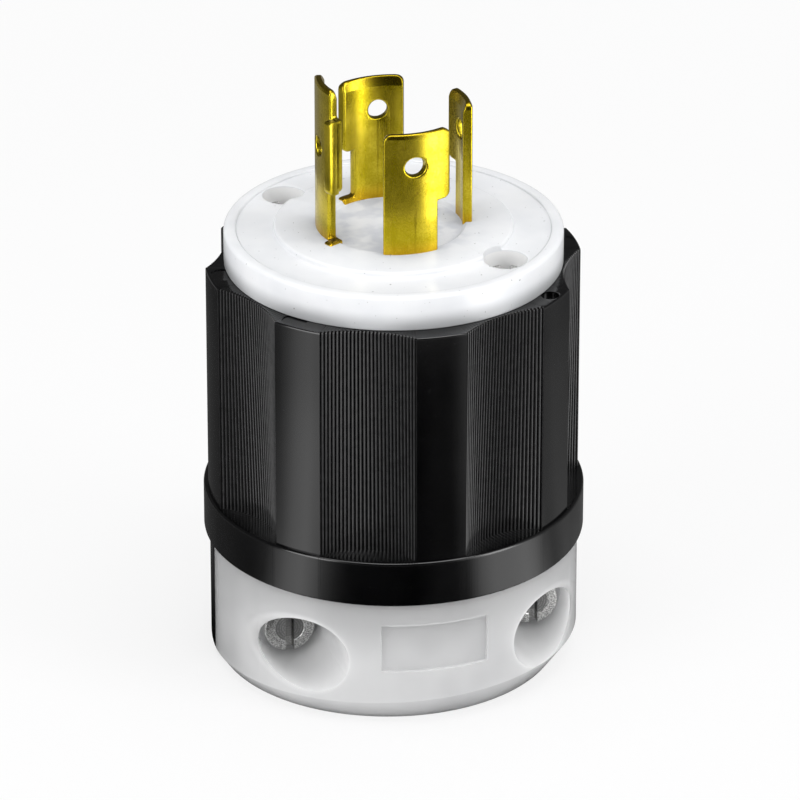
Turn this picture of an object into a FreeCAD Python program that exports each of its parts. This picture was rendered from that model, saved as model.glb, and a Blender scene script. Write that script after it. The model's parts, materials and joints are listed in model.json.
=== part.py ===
# Locking power plug, four blades, with a ribbed grip and a two-half cord clamp.
# Frame: millimetres, +Z towards the blades, origin at the middle of the base,
# the pale half of the cord clamp faces -Y and the earth blade stands at -X.
import FreeCAD, Part
import math
import os
import re

import Sketcher

os.makedirs("parts", exist_ok=True)
doc = FreeCAD.newDocument("LockingPlug")

# Driving dimensions, in millimetres and degrees.
sizes = {
    # cord clamp, at the foot of the plug
    "base_setback": 0.78,
    "base_height": 18.1,
    "bevel_width": 1.76,
    "bevel_pitch": 1.42,
    "bevel_shift": 0.64,
    "bevel_lean": 0.82,
    "cord_radius": 9.5,
    "cord_flare": 1.6,
    "parting_gap": 0.3,
    "clamp_top_gap": 0.2,
    # flange ring and ribbed sleeve
    "ring_radius": 25.4,
    "ring_height": 6.35,
    "ring_edge": 0.3,
    "sleeve_setback": 0.52,
    "sleeve_height": 32.25,
    "sleeve_wall": 5.38,
    "floor_thickness": 2.5,
    # ribbed hollows between the smooth lands
    "hollow_count": 8,
    "land_half_angle": 7.7,
    "hollow_depth_top": 1.28,
    "hollow_depth_bottom": 2.43,
    "rib_pitch": 0.49,
    "rib_depth": 0.24,
    # wells, screws and nuts of the cord clamp
    "well_inset": 7.92,
    "well_height": 9.05,
    "well_depth": 16.62,
    "well_radius": 4.15,
    "well_flare": 0.079,
    "clamp_screw_radius": 2.0,
    "clamp_screw_tip": 0.5,
    "clamp_head_radius": 3.35,
    "clamp_head_height": 2.1,
    "clamp_hole_clearance": 0.2,
    "nut_width": 7.0,
    "nut_thickness": 3.0,
    "nut_clearance": 0.25,
    # recessed panel in the clamp
    "panel_half_angle": 17.0,
    "panel_low": 8.05,
    "panel_high": 14.84,
    "panel_depth": 0.5,
    # face
    "face_setback": 2.51,
    "face_height": 4.7,
    "face_edge": 0.35,
    "rim_width": 1.65,
    "rim_depth": 0.45,
    "boss_radius": 15.75,
    "boss_rise": 0.9,
    "boss_edge": 0.35,
    "eye_radius": 9.0,
    "eye_depth": 0.5,
    "spigot_clearance": 0.2,
    "spigot_length": 12.7,
    # blades
    "blade_outer": 10.3,
    "blade_thickness": 1.27,
    "blade_rise": 17.75,
    "line_half_angle": 21.0,
    "neutral_half_angle": 13.1,
    "earth_half_angle": 21.0,
    "lug_angle": 11.4,
    "undercut_rise": 7.9,
    "undercut_corner": 0.9,
    "corner_round": 1.0,
    "lead_width": 0.42,
    "lead_height": 1.3,
    "hole_rise": 13.15,
    "hole_radius": 1.35,
    "hole_shift": 3.0,
    "slot_clearance": 0.15,
    "shoulder_rise": 0.3,
    "earth_extra": 4.4,
    "earth_far_corner": 2.2,
    "earth_near_corner": 0.6,
    "earth_shoulder": 18.3,
    "earth_hook_angle": 9.0,
    "earth_hook_reach": 0.95,
    "earth_hook_edge": 0.4,
    "earth_neck_angle": 2.3,
    # terminals inside
    "cavity_clearance": 0.3,
    "block_height": 16.0,
    "chamber_width": 10.4,
    "chamber_inner": 8.2,
    "chamber_floor": 2.2,
    "chamber_roof": 2.0,
    "wire_hole_radius": 2.1,
    "wire_circle": 11.9,
    "plate_width": 7.6,
    "plate_height": 8.4,
    "plate_thickness": 1.2,
    "plate_inner": 13.3,
    "terminal_screw_radius": 1.75,
    "terminal_head_radius": 3.1,
    "terminal_head_height": 1.9,
    "terminal_screw_length": 5.4,
    "plate_hole_clearance": 0.2,
    # assembly screws, their bosses and inserts
    "fixing_inset": 1.8,
    "fixing_angle": -48.0,
    "boss_post_radius": 3.6,
    "post_clearance": 0.4,
    "fixing_recess_radius": 2.9,
    "fixing_seat": 1.8,
    "fixing_radius": 1.75,
    "fixing_length": 12.0,
    "fixing_head_radius": 2.75,
    "fixing_head_height": 1.7,
    "fixing_clearance": 0.25,
    "insert_radius": 2.6,
    "insert_length": 8.0,
    "driver_slot_width": 0.8,
    "driver_slot_depth": 0.8,
    # dust shield
    "shield_thickness": 1.5,
    "shield_hole_radius": 6.5,
}

dims = doc.addObject("Spreadsheet::Sheet", "Dims")
for row, (alias, number) in enumerate(sizes.items(), start=1):
    dims.set(f"A{row}", alias)
    dims.set(f"B{row}", str(number))
    dims.setAlias(f"B{row}", alias)
doc.recompute()

# Sizes and heights that follow from the driving ones, as formulas in their names.
derived = {
    "base_radius": "(ring_radius - base_setback)",
    "bevel_radius": "(base_radius - bevel_width)",
    "bevel_height": "((bevel_width + bevel_shift + bevel_lean) * bevel_pitch)",
    "sleeve_radius": "(ring_radius - sleeve_setback)",
    "cavity_radius": "(sleeve_radius - sleeve_wall)",
    "well_offset": "(base_radius - well_inset)",
    "well_seat": "(base_radius - well_depth)",
    "nut_seat": "well_seat",
    "clamp_screw_length": "(well_seat + nut_seat + nut_thickness + clamp_screw_tip)",
    "face_radius": "(sleeve_radius - face_setback)",
    "spigot_radius": "(cavity_radius - spigot_clearance)",
    "block_radius": "(cavity_radius - cavity_clearance)",
    "shield_radius": "(cavity_radius - cavity_clearance)",
    "fixing_circle": "(cavity_radius - fixing_inset)",
    "blade_inner": "(blade_outer - blade_thickness)",
    "ring_top": "(base_height + ring_height)",
    "sleeve_top": "(ring_top + sleeve_height)",
    "cavity_floor": "(base_height + floor_thickness)",
    "rim_top": "(sleeve_top + face_height)",
    "panel_top": "(rim_top - rim_depth)",
    "boss_top": "(panel_top + boss_rise)",
    "spigot_bottom": "(sleeve_top - spigot_length)",
    "block_bottom": "(spigot_bottom - block_height)",
    "chamber_bottom": "(block_bottom + chamber_floor)",
    "chamber_top": "(spigot_bottom - chamber_roof)",
    "terminal_height": "((chamber_bottom + chamber_top) / 2)",
    "blade_top": "(panel_top + blade_rise)",
    "fixing_seat_height": "(sleeve_top + fixing_seat)",
}


def formula(text):
    """Turn a formula in plain size names into one that reads the sheet."""
    def read(word):
        name = word.group()
        if name in derived:
            return formula(derived[name])
        return "Dims." + name if name in sizes else name
    return re.sub(r"[a-z_]{4,}", read, text)


def value(text):
    return float(dims.evalExpression(formula(text)))


def bind(thing, **formulas):
    """Bind properties to the sheet; a double underscore stands for a dot."""
    for name, text in formulas.items():
        thing.setExpression(name.replace("__", "."), formula(text))
    return thing


# Where the four blades stand, counted anticlockwise from +X.
blade_places = {"neutral": 0, "line_rear": 90, "earth": 180, "line_front": 270}
blade_widths = {
    "neutral": "neutral_half_angle",
    "line_rear": "line_half_angle",
    "earth": "earth_half_angle",
    "line_front": "line_half_angle",
}
# How far a blade's lug reaches past its stem, and the blades whose foot is as wide.
lug_angles = {name: "lug_angle" for name in blade_places}
lug_angles["earth"] = "earth_hook_angle"
wide_footed = ("line_rear", "earth")


def new_body(label):
    body = doc.addObject("PartDesign::Body", label + "_body")
    body.Label = label
    return body


def sketch_on(body, name, role, offset=None):
    """An empty sketch on one of the body's own origin planes."""
    sketch = body.newObject("Sketcher::SketchObject", name)
    plane = next(item for item in body.Origin.OriginFeatures if item.Role == role)
    sketch.AttachmentSupport = [(plane, "")]
    sketch.MapMode = "FlatFace"
    if offset:
        bind(sketch, AttachmentOffset__Base__z=offset)
    return sketch


def pin_point(sketch, index, position, x_text, y_text):
    """Tie one end of a sketch line to the sheet by its two coordinates."""
    for kind, text in (("DistanceX", x_text), ("DistanceY", y_text)):
        number = sketch.addConstraint(
            Sketcher.Constraint(kind, -1, 1, index, position, value(text)))
        sketch.setExpression(f"Constraints[{number}]", formula(text))


def draw_outline(sketch, corners):
    """Draw a closed outline. A corner is (x, y), or (x, y, radius, side) where the
    edge that follows is an arc that bulges to its left (side 1) or right (side -1)."""
    points = [FreeCAD.Vector(value(corner[0]), value(corner[1]), 0) for corner in corners]
    first = sketch.GeometryCount
    for place, corner in enumerate(corners):
        start = points[place]
        end = points[(place + 1) % len(points)]
        if len(corner) == 2:
            sketch.addGeometry(Part.LineSegment(start, end), False)
        else:
            radius = value(corner[2])
            middle = (start + end) * 0.5
            across = FreeCAD.Vector(start.y - end.y, end.x - start.x, 0).normalize()
            half = (end - start).Length / 2
            sag = radius - math.sqrt(max(radius ** 2 - half ** 2, 0))
            top = middle + across * sag * corner[3]
            ends = (start, end) if corner[3] < 0 else (end, start)
            sketch.addGeometry(Part.Arc(ends[0], top, ends[1]), False)
    count = len(corners)
    starts = []
    for place, corner in enumerate(corners):
        edge = first + place
        geometry = sketch.Geometry[edge]
        forward = geometry.StartPoint.distanceToPoint(points[place]) < 1e-6
        starts.append((1, 2) if forward else (2, 1))
    for place, corner in enumerate(corners):
        edge = first + place
        following = (place + 1) % count
        sketch.addConstraint(Sketcher.Constraint(
            "Coincident", edge, starts[place][1], first + following, starts[following][0]))
        pin_point(sketch, edge, starts[place][0], corner[0], corner[1])
        if len(corner) > 2:
            number = sketch.addConstraint(
                Sketcher.Constraint("Radius", edge, value(corner[2])))
            sketch.setExpression(f"Constraints[{number}]", formula(corner[2]))
    return sketch


def draw_circle(sketch, x_text, y_text, radius):
    centre = FreeCAD.Vector(value(x_text), value(y_text), 0)
    edge = sketch.addGeometry(
        Part.Circle(centre, FreeCAD.Vector(0, 0, 1), value(radius)), False)
    pin_point(sketch, edge, 3, x_text, y_text)
    number = sketch.addConstraint(Sketcher.Constraint("Radius", edge, value(radius)))
    sketch.setExpression(f"Constraints[{number}]", formula(radius))


def rectangle(x_low, y_low, x_high, y_high):
    return [(x_low, y_low), (x_high, y_low), (x_high, y_high), (x_low, y_high)]


def revolve(body, sketch, angle=360):
    feature = body.newObject("PartDesign::Revolution", sketch.Name + "_turn")
    feature.Profile = sketch
    feature.ReferenceAxis = (sketch, ["V_Axis"])
    feature.Angle = angle
    return feature


def groove(body, sketch):
    feature = body.newObject("PartDesign::Groove", sketch.Name + "_cut")
    feature.Profile = sketch
    feature.ReferenceAxis = (sketch, ["V_Axis"])
    feature.Angle = 360
    return feature


def pad(body, sketch, length, both_ways=False):
    feature = body.newObject("PartDesign::Pad", sketch.Name + "_pad")
    feature.Profile = sketch
    feature.Midplane = both_ways
    bind(feature, Length=length)
    return feature


def pocket(body, sketch, length, other_way=False, both_ways=False):
    feature = body.newObject("PartDesign::Pocket", sketch.Name + "_cut")
    feature.Profile = sketch
    feature.Reversed = other_way
    feature.Midplane = both_ways
    bind(feature, Length=length)
    return feature


def cylinder(name, radius, height):
    return bind(doc.addObject("Part::Cylinder", name), Radius=radius, Height=height)


def sector(name, inner, outer, start, sweep, bottom, height):
    """A ring sector about Z, as wide as a blade or a panel needs."""
    outside = bind(doc.addObject("Part::Cylinder", name + "_outside"), Radius=outer,
                   Height=height, Angle=sweep, Placement__Base__z=bottom,
                   Placement__Rotation__Angle=start)
    inside = bind(doc.addObject("Part::Cylinder", name + "_inside"), Radius=inner,
                  Height=f"{height} + 2", Placement__Base__z=f"{bottom} - 1")
    return cut(name, outside, inside)


def cut(name, base, tool):
    result = doc.addObject("Part::Cut", name)
    result.Base = base
    result.Tool = tool
    return result


def join(name, pieces):
    result = doc.addObject("Part::MultiFuse", name)
    result.Shapes = pieces
    return result


# Screws, all drawn with the head's seat at z = 0 and the head towards +Z.
def screw_body(label, head_radius, head_height, radius, length):
    """A machine screw with a flat head and a driver slot across it."""
    body = new_body(label)
    profile = sketch_on(body, label + "_profile", "XZ_Plane")
    draw_outline(profile, [
        ("0", f"-{length}"),
        (radius, f"-{length}"),
        (radius, "0"),
        (head_radius, "0"),
        (head_radius, head_height),
        ("0", head_height),
    ])
    revolve(body, profile)
    half = "driver_slot_width / 2"
    reach = f"{head_radius} + 1"
    slot = sketch_on(body, label + "_slot", "XY_Plane", head_height)
    draw_outline(slot, rectangle(f"-({half})", f"-({reach})", half, reach))
    body.Tip = pocket(body, slot, "driver_slot_depth")
    return body


parts = {}


# Housing: sleeve, ring and the rear half of the cord clamp, moulded in one.
def make_hollow_cutters():
    """One ribbed cutter per hollow: a ruled loft between two ribbed outlines."""
    count = int(value("hollow_count"))
    radius = value("sleeve_radius")
    half = math.radians(180 / count - value("land_half_angle"))
    chord = radius * math.sin(half)
    bottom = value("ring_top")
    top = value("sleeve_top")
    past = 1.0
    slope = (value("hollow_depth_top") - value("hollow_depth_bottom")) / (top - bottom)
    arc_length = 2 * chord
    ribs = max(3, round(arc_length / value("rib_pitch")))

    def ribbed_wire(height):
        depth = value("hollow_depth_top") + slope * (height - top)
        bow = (chord ** 2 + depth ** 2) / (2 * depth)
        centre = radius * math.cos(half) + bow - depth
        swing = math.asin(chord / bow)
        points = []
        for step in range(2 * ribs + 1):
            turn = swing * (step / ribs - 1)
            reach = bow + (value("rib_depth") if step % 2 and 0 < step < 2 * ribs else 0)
            points.append(FreeCAD.Vector(centre - reach * math.cos(turn),
                                         reach * math.sin(turn), height))
        beyond = value("ring_radius") + 2
        points.append(FreeCAD.Vector(beyond, points[-1].y, height))
        points.append(FreeCAD.Vector(beyond, points[0].y, height))
        points.reverse()
        return Part.makePolygon(points + points[:1])

    blank = Part.makeLoft([ribbed_wire(bottom), ribbed_wire(top + past)], True, True)
    cutters = []
    for place in range(count):
        turned = blank.copy()
        turned.rotate(FreeCAD.Vector(), FreeCAD.Vector(0, 0, 1), 360 / count * (place + 0.5))
        cutters.append(turned)
    feature = doc.addObject("Part::Feature", "hollow_cutters")
    feature.Shape = Part.makeCompound(cutters)
    return feature


def make_housing():
    body = doc.addObject("PartDesign::Body", "housing_blank")
    shell = sketch_on(body, "shell_section", "XZ_Plane")
    draw_outline(shell, [
        ("cord_radius", "base_height"),
        ("ring_radius - ring_edge", "base_height"),
        ("ring_radius", "base_height + ring_edge"),
        ("ring_radius", "ring_top - ring_edge"),
        ("ring_radius - ring_edge", "ring_top"),
        ("sleeve_radius", "ring_top"),
        ("sleeve_radius", "sleeve_top"),
        ("cavity_radius", "sleeve_top"),
        ("cavity_radius", "cavity_floor"),
        ("cord_radius", "cavity_floor"),
    ])
    revolve(body, shell)
    half = sketch_on(body, "rear_half_section", "XZ_Plane")
    draw_outline(half, clamp_section("base_height"))
    revolve(body, half, 180)
    posts = sketch_on(body, "posts", "XY_Plane", "cavity_floor")
    for turn in (0, 180):
        draw_circle(posts, *fixing_place(turn), "boss_post_radius")
    pad(body, posts, "sleeve_top - cavity_floor")
    inserts = sketch_on(body, "insert_holes", "XY_Plane", "sleeve_top")
    tips = sketch_on(body, "screw_tip_holes", "XY_Plane", "sleeve_top")
    for turn in (0, 180):
        draw_circle(inserts, *fixing_place(turn), "insert_radius")
        draw_circle(tips, *fixing_place(turn), "fixing_radius + fixing_clearance")
    pocket(body, inserts, "insert_length")
    body.Tip = pocket(body, tips, "fixing_length + 2")
    gap = bind(doc.addObject("Part::Box", "rear_gap"), Length="base_radius * 2 + 2",
               Width="parting_gap", Height="base_height",
               Placement__Base__x="-(base_radius + 1)")
    holes = []
    for side, name in ((-1, "left"), (1, "right")):
        hole = cylinder("rear_hole_" + name, "clamp_screw_radius + clamp_hole_clearance",
                        "base_radius + 1")
        hole.Placement.Rotation = FreeCAD.Rotation(FreeCAD.Vector(1, 0, 0), -90)
        bind(hole, Placement__Base__x=f"{side} * well_offset",
             Placement__Base__z="well_height")
        wide = "(nut_width + 2 * nut_clearance)"
        nest = bind(doc.addObject("Part::Box", "nut_nest_" + name), Length=wide, Height=wide,
                    Width="base_radius + 1", Placement__Base__y="nut_seat",
                    Placement__Base__x=f"{side} * well_offset - {wide} / 2",
                    Placement__Base__z=f"well_height - {wide} / 2")
        holes += [hole, nest]
    tools = join("housing_cutters",
                 [gap, foot_bevel("rear_bevel", -1), make_hollow_cutters()] + holes)
    parts["housing"] = cut("housing_cut", body, tools)


def foot_bevel(name, way):
    """What bevels the foot: outside a cone that is struck a little towards the earth
    blade and the parting line, so that the bevel is narrower there."""
    ring = cylinder(name + "_ring", "ring_radius + bevel_shift + bevel_lean + 1", "bevel_height")
    cone = bind(doc.addObject("Part::Cone", name + "_cone"), Radius1="bevel_radius",
                Radius2="bevel_radius + bevel_height / bevel_pitch", Height="bevel_height",
                Placement__Base__x="-bevel_shift", Placement__Base__y=f"{way} * bevel_lean")
    return cut(name, ring, cone)


def clamp_section(top):
    """The section of a clamp half, with its flared cord passage."""
    return [
        ("cord_radius + cord_flare", "0"),
        ("base_radius", "0"),
        ("base_radius", top),
        ("cord_radius", top),
        ("cord_radius", "cord_flare"),
    ]


def fixing_place(turn):
    angle = f"(fixing_angle + {turn})"
    return f"fixing_circle * cos{angle}", f"fixing_circle * sin{angle}"


def make_cord_clamp():
    body = doc.addObject("PartDesign::Body", "clamp_blank")
    section = sketch_on(body, "clamp_section", "XZ_Plane")
    draw_outline(section, clamp_section("base_height - clamp_top_gap"))
    front = revolve(body, section, 180)
    front.Reversed = True
    gap = bind(doc.addObject("Part::Box", "front_gap"), Length="base_radius * 2 + 2",
               Width="parting_gap + 1", Height="base_height",
               Placement__Base__x="-(base_radius + 1)", Placement__Base__y="-parting_gap")
    panel = sector("panel_recess", "base_radius - panel_depth", "base_radius + 1",
                   "270 - panel_half_angle", "2 * panel_half_angle", "panel_low",
                   "panel_high - panel_low")
    tools = [gap, panel, foot_bevel("front_bevel", 1)]
    for side, name in ((-1, "left"), (1, "right")):
        depth = "(base_radius - well_seat)"
        well = bind(doc.addObject("Part::Cone", "well_" + name), Radius1="well_radius",
                    Radius2=f"well_radius + well_flare * {depth}", Height=depth)
        hole = cylinder("front_hole_" + name, "clamp_screw_radius + clamp_hole_clearance",
                        "well_seat + 1")
        for tool, start in ((well, "-well_seat"), (hole, "1 - parting_gap")):
            tool.Placement.Rotation = FreeCAD.Rotation(FreeCAD.Vector(1, 0, 0), 90)
            bind(tool, Placement__Base__x=f"{side} * well_offset",
                 Placement__Base__y=start, Placement__Base__z="well_height")
        tools += [well, hole]
    parts["cord_clamp"] = cut("cord_clamp_cut", body, join("clamp_cutters", tools))


def blade_slots(name, bottom, height):
    """Room for each blade in the face and in the block's roof."""
    slots = []
    room = "(slot_clearance * 180 / (pi * blade_inner))"
    for blade, place in blade_places.items():
        half = blade_widths[blade]
        extra = lug_angles[blade] if blade in wide_footed else "0"
        slots.append(sector(
            f"{blade}_{name}", "blade_inner - slot_clearance",
            "blade_outer + slot_clearance", f"{place} - {half} - {room}",
            f"2 * ({half} + {room}) + {extra}", bottom, height))
    return slots


def hook_slot(name, bottom, height):
    """Room for the earth blade's turned-out edge."""
    edge = f"({lug_end_of('earth')})"
    slot = bind(doc.addObject("Part::Box", name),
                Length="blade_thickness + earth_hook_reach + slot_clearance",
                Width="blade_thickness + 2 * slot_clearance", Height=height,
                Placement__Rotation__Angle=f"{blade_places['earth']} + {edge}",
                Placement__Base__z=bottom)
    turn = f"({blade_places['earth']} + {edge})"
    inner, side = "blade_inner", "(blade_thickness + slot_clearance)"
    bind(slot, Placement__Base__x=f"{inner} * cos{turn} + {side} * sin{turn}",
         Placement__Base__y=f"{inner} * sin{turn} - {side} * cos{turn}")
    return slot


def lug_end_of(name):
    return f"{blade_widths[name]} + {lug_angles[name]}"


# Face: rim, sunk ring, central boss and the spigot that drops into the sleeve.
def make_face():
    body = doc.addObject("PartDesign::Body", "face_blank")
    section = sketch_on(body, "face_section", "XZ_Plane")
    draw_outline(section, [
        ("0", "spigot_bottom"),
        ("spigot_radius", "spigot_bottom"),
        ("spigot_radius", "sleeve_top"),
        ("face_radius", "sleeve_top"),
        ("face_radius", "rim_top - face_edge"),
        ("face_radius - face_edge", "rim_top"),
        ("face_radius - rim_width", "rim_top"),
        ("face_radius - rim_width", "panel_top"),
        ("boss_radius", "panel_top"),
        ("boss_radius", "boss_top - boss_edge"),
        ("boss_radius - boss_edge", "boss_top"),
        ("eye_radius", "boss_top"),
        ("eye_radius", "boss_top - eye_depth"),
        ("0", "boss_top - eye_depth"),
    ])
    revolve(body, section)
    recess = sketch_on(body, "fixing_recess", "XY_Plane", "boss_top")
    through = sketch_on(body, "fixing_hole", "XY_Plane", "boss_top")
    posts = sketch_on(body, "post_clearance", "XY_Plane", "sleeve_top")
    for turn in (0, 180):
        draw_circle(recess, *fixing_place(turn), "fixing_recess_radius")
        draw_circle(through, *fixing_place(turn), "fixing_radius + fixing_clearance")
        draw_circle(posts, *fixing_place(turn), "boss_post_radius + post_clearance")
    pocket(body, recess, "boss_top - fixing_seat_height")
    pocket(body, through, "boss_top - spigot_bottom")
    body.Tip = pocket(body, posts, "spigot_length + 1")
    span = ("spigot_bottom - 1", "boss_top - spigot_bottom + 2")
    slots = blade_slots("slot", *span) + [hook_slot("hook_slot", *span)]
    parts["face"] = cut("face_cut", body, join("face_slots", slots))


# Terminal block: a chamber for each terminal, with a wire hole from below.
def make_terminal_block():
    body = doc.addObject("PartDesign::Body", "block_blank")
    disc = sketch_on(body, "block_outline", "XY_Plane", "block_bottom")
    draw_circle(disc, "0", "0", "block_radius")
    pad(body, disc, "block_height")
    posts = sketch_on(body, "block_posts", "XY_Plane", "spigot_bottom")
    for turn in (0, 180):
        draw_circle(posts, *fixing_place(turn), "boss_post_radius + post_clearance")
    pocket(body, posts, "block_height + 1")
    chamber = sketch_on(body, "chamber", "XY_Plane", "chamber_top")
    draw_outline(chamber, rectangle("chamber_inner", "-chamber_width / 2",
                                    "block_radius + 2", "chamber_width / 2"))
    sunk = pocket(body, chamber, "chamber_top - chamber_bottom")
    wire = sketch_on(body, "wire_hole", "XY_Plane", "chamber_bottom")
    draw_circle(wire, "wire_circle", "0", "wire_hole_radius")
    bored = pocket(body, wire, "chamber_floor + 1")
    four = body.newObject("PartDesign::PolarPattern", "chambers")
    four.Originals = [sunk, bored]
    four.Axis = (chamber, ["N_Axis"])
    four.Angle = 360
    four.Occurrences = len(blade_places)
    body.Tip = four
    slots = blade_slots("roof_slot", "chamber_top - 1", "chamber_roof + 2")
    parts["terminal_block"] = cut("terminal_block_cut", body, join("roof_slots", slots))


# Blades, drawn about +X and then turned to their place.
def arc_section(low, high):
    """A sheet rolled to the blade's radius, from one angle to another."""
    def corner(radius, angle):
        return f"{radius} * cos({angle})", f"{radius} * sin({angle})"
    return [
        corner("blade_inner", low),
        corner("blade_outer", low) + ("blade_outer", -1),
        corner("blade_outer", high),
        corner("blade_inner", high) + ("blade_inner", 1),
    ]


def corner_edges(shape, height, angle):
    """Names of the short edges across the sheet at a height and an angle."""
    names = []
    for number, edge in enumerate(shape.Edges, start=1):
        first, last = edge.Vertexes[0].Point, edge.Vertexes[-1].Point
        level = abs(first.z - height) < 1e-4 and abs(last.z - height) < 1e-4
        turned = all(abs(math.degrees(math.atan2(end.y, end.x)) - angle) < 1e-3
                     for end in (first, last))
        if level and turned and (last - first).Length > 1e-3:
            names.append(f"Edge{number}")
    return names


def round_corners(body, name, base, corners, radius):
    """Round the sheet's corners that stand at the given heights and angles."""
    doc.recompute()
    names = []
    for height, angle in corners:
        names += corner_edges(base.Shape, value(height), value(angle))
    feature = body.newObject("PartDesign::Fillet", name)
    feature.Base = (base, names)
    bind(feature, Radius=radius)
    return feature


def lead_in(body, name, top):
    """Bevel the inner and the outer edge of a blade's free end."""
    section = sketch_on(body, name, "XZ_Plane")
    draw_outline(section, [
        ("blade_inner - 1", f"{top} - lead_height"),
        ("blade_inner", f"{top} - lead_height"),
        ("blade_inner + lead_width", top),
        ("blade_inner + lead_width", f"{top} + 1"),
        ("blade_inner - 1", f"{top} + 1"),
    ])
    groove(body, section)
    outer = sketch_on(body, name + "_outer", "XZ_Plane")
    draw_outline(outer, [
        ("blade_outer + 3", f"{top} - lead_height"),
        ("blade_outer + 3", f"{top} + 1"),
        ("blade_outer - lead_width", f"{top} + 1"),
        ("blade_outer - lead_width", top),
        ("blade_outer", f"{top} - lead_height"),
    ])
    return groove(body, outer)


def make_blade(name, place):
    label = "blade_" + name
    half = blade_widths[name]
    earth = name == "earth"
    lug_end = f"({lug_end_of(name)})"
    top = "(blade_top + earth_extra)" if earth else "blade_top"
    lug_top = "(panel_top + earth_shoulder)" if earth else "blade_top"
    undercut = "(panel_top + undercut_rise)"
    body = new_body(label)
    stem = sketch_on(body, label + "_stem", "XY_Plane", "chamber_bottom")
    draw_outline(stem, arc_section(f"-{half}", half))
    pad(body, stem, f"{top} - chamber_bottom")
    lug = sketch_on(body, label + "_lug", "XY_Plane", undercut)
    draw_outline(lug, arc_section(f"{half} - 2", lug_end))
    last = pad(body, lug, f"{lug_top} - {undercut}")
    if earth:
        stem_end = f"({half} + earth_neck_angle)"
        neck = sketch_on(body, label + "_neck", "XY_Plane", undercut)
        draw_outline(neck, arc_section(f"{half} - 2", stem_end))
        last = pad(body, neck, f"{top} - {undercut}")
    foot_top = "(boss_top + shoulder_rise)"
    if name in wide_footed:
        foot = sketch_on(body, label + "_foot", "XY_Plane", "spigot_bottom")
        draw_outline(foot, arc_section(f"{half} - 2", lug_end))
        last = pad(body, foot, f"{foot_top} - spigot_bottom")
    far_corner = (top, f"-{half}")
    if earth:
        last = round_corners(body, label + "_far", last, [far_corner], "earth_far_corner")
        last = round_corners(body, label + "_near", last, [(top, stem_end)],
                             "earth_near_corner")
    else:
        last = round_corners(body, label + "_corners", last,
                             [far_corner, (lug_top, lug_end)], "corner_round")
    last = round_corners(body, label + "_undercut", last, [(undercut, lug_end)],
                         "undercut_corner")
    hole = sketch_on(body, label + "_hole", "YZ_Plane")
    shift = "0" if name == "line_rear" else "blade_outer * sin(hole_shift)"
    draw_circle(hole, shift, "panel_top + hole_rise", "hole_radius")
    pocket(body, hole, "blade_outer + 5", other_way=True)
    tapped = sketch_on(body, label + "_tapping", "YZ_Plane")
    draw_circle(tapped, "0", "terminal_height", "terminal_screw_radius")
    pocket(body, tapped, "blade_outer + 5", other_way=True)
    body.Tip = lead_in(body, label + "_lead", top)
    if not earth:
        bind(body, Placement__Rotation__Angle=str(place))
        parts[label] = body
        return
    reach = "(blade_outer + earth_hook_reach)"
    root = "(blade_inner + blade_thickness / 2)"
    turned = FreeCAD.Rotation(FreeCAD.Vector(0, 1, 0), value(lug_end))
    hook = sketch_on(body, label + "_hook", "XZ_Plane")
    hook.AttachmentOffset = FreeCAD.Placement(FreeCAD.Vector(), turned)
    draw_outline(hook, [
        (root, undercut),
        (f"{reach} - undercut_corner", undercut),
        (reach, f"{undercut} + undercut_corner"),
        (reach, f"{lug_top} - earth_hook_edge"),
        (f"{reach} - earth_hook_edge", lug_top),
        (root, lug_top),
    ])
    pad(body, hook, "blade_thickness")
    hook_foot = sketch_on(body, label + "_hook_foot", "XZ_Plane")
    hook_foot.AttachmentOffset = FreeCAD.Placement(FreeCAD.Vector(), turned)
    draw_outline(hook_foot, rectangle(root, "spigot_bottom", reach, foot_top))
    body.Tip = pad(body, hook_foot, "blade_thickness")
    bind(body, Placement__Rotation__Angle=str(place))
    parts[label] = body


# Terminal plates and screws, one set for each blade.
def make_terminal(name, place):
    outside = bind(doc.addObject("Part::Box", f"plate_{name}_blank"),
                   Length="plate_thickness", Width="plate_width", Height="plate_height",
                   Placement__Base__x="plate_inner", Placement__Base__y="-plate_width / 2",
                   Placement__Base__z="terminal_height - plate_height / 2")
    hole = cylinder(f"plate_{name}_hole", "terminal_screw_radius + plate_hole_clearance",
                    "plate_thickness + 2")
    hole.Placement.Rotation = FreeCAD.Rotation(FreeCAD.Vector(0, 1, 0), 90)
    bind(hole, Placement__Base__x="plate_inner - 1", Placement__Base__z="terminal_height")
    plate = cut(f"plate_{name}", outside, hole)
    bind(plate, Placement__Rotation__Angle=str(place))
    parts["terminal_plate_" + name] = plate
    screw = screw_body("terminal_screw_" + name, "terminal_head_radius",
                       "terminal_head_height", "terminal_screw_radius",
                       "terminal_screw_length")
    screw.Placement.Rotation = FreeCAD.Rotation(place, 90, 0)
    seat = "(plate_inner + plate_thickness)"
    bind(screw, Placement__Base__x=f"{seat} * cos({place})",
         Placement__Base__y=f"{seat} * sin({place})", Placement__Base__z="terminal_height")
    parts["terminal_screw_" + name] = screw


# Assembly screws with their inserts, and the cord clamp's screws and nuts.
def make_fixings():
    for turn, name in ((0, "front"), (180, "rear")):
        x_text, y_text = fixing_place(turn)
        screw = screw_body("assembly_screw_" + name, "fixing_head_radius",
                           "fixing_head_height", "fixing_radius", "fixing_length")
        bind(screw, Placement__Base__x=x_text, Placement__Base__y=y_text,
             Placement__Base__z="fixing_seat_height")
        parts["assembly_screw_" + name] = screw
        outside = cylinder(f"insert_{name}_blank", "insert_radius", "insert_length")
        bore = cylinder(f"insert_{name}_bore", "fixing_radius", "insert_length")
        for piece in (outside, bore):
            bind(piece, Placement__Base__x=x_text, Placement__Base__y=y_text,
                 Placement__Base__z="sleeve_top - insert_length")
        parts["insert_" + name] = cut(f"insert_{name}_cut", outside, bore)


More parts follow.
